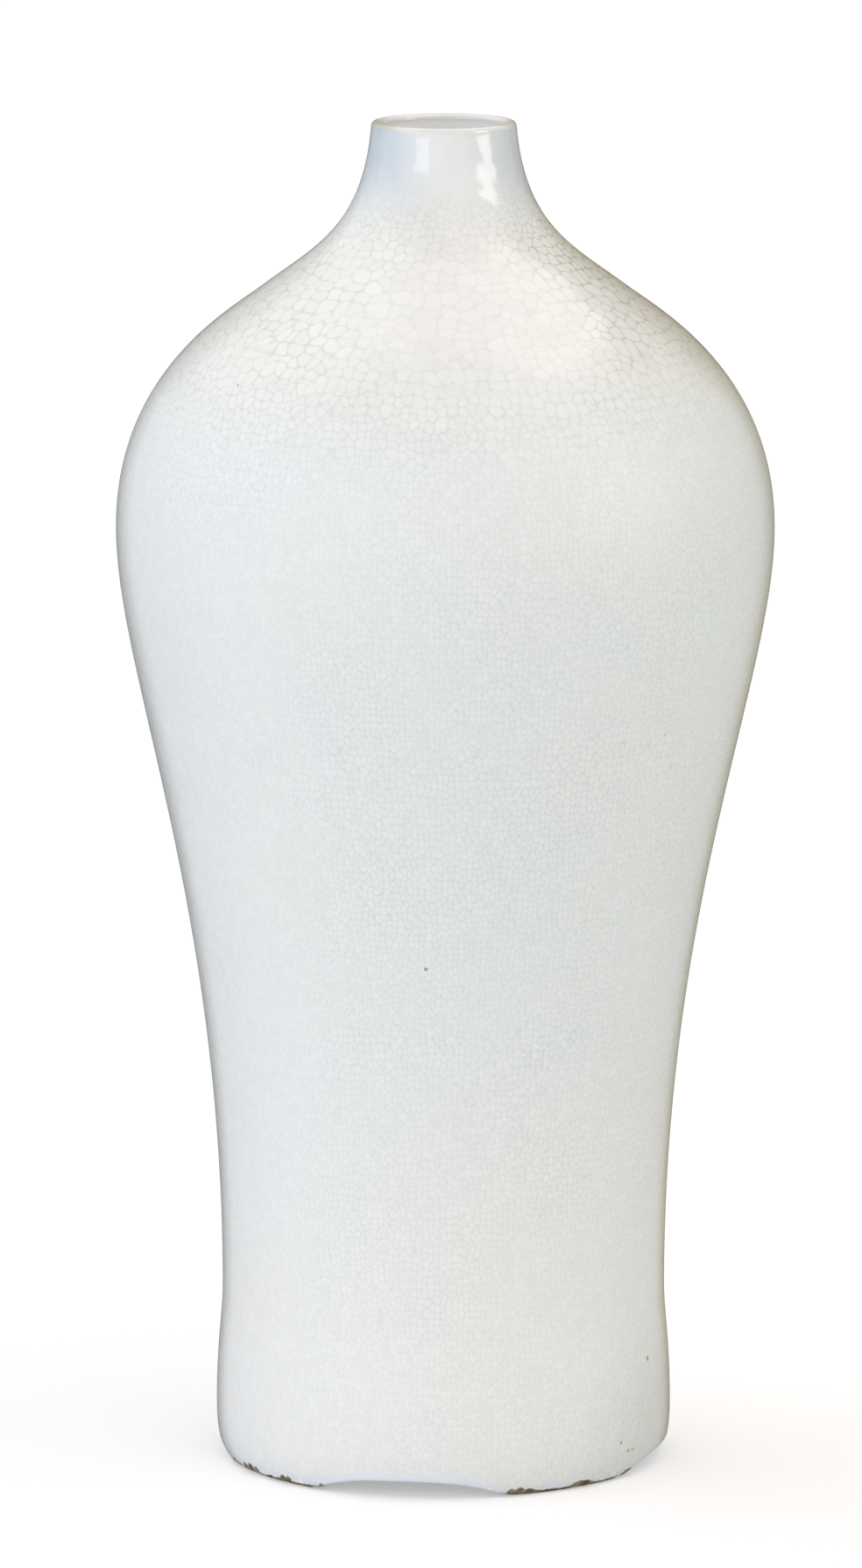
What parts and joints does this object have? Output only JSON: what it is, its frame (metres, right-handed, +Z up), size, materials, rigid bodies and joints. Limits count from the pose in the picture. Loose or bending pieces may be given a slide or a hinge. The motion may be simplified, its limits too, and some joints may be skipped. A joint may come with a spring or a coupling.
{
  "type": "ceramic vase",
  "caption": "Free-standing ceramic vase with a small lipped mouth, broad shoulder, tapering body and notched foot ring, coated inside and out in pale crackle glaze.",
  "frame": {"origin": "centre of the foot, on the surface that the vase stands on", "axes": "+Z up along the vase's axis, out of the mouth; the notches of the foot lie on the X and Y axes"},
  "size_m": [0.1364, 0.1364, 0.28],
  "materials": {
    "clay_body": "matt, bare and stained brown at the foot's edge",
    "luting_slip": "matt",
    "crackle_glaze": "glossy, pale bluish white with a fine crackle",
    "plain_glaze": "glossy, pale bluish white"
  },
  "bodies": {
    "root": {"foot_ring": "clay_body", "foot_slip": "luting_slip", "lower_body": "clay_body", "body_slip": "luting_slip", "upper_body": "clay_body", "neck_slip": "luting_slip", "neck": "clay_body", "outer_glaze": "crackle_glaze", "inner_glaze": "plain_glaze", "base_glaze": "plain_glaze"}
  },
  "joints": []
}
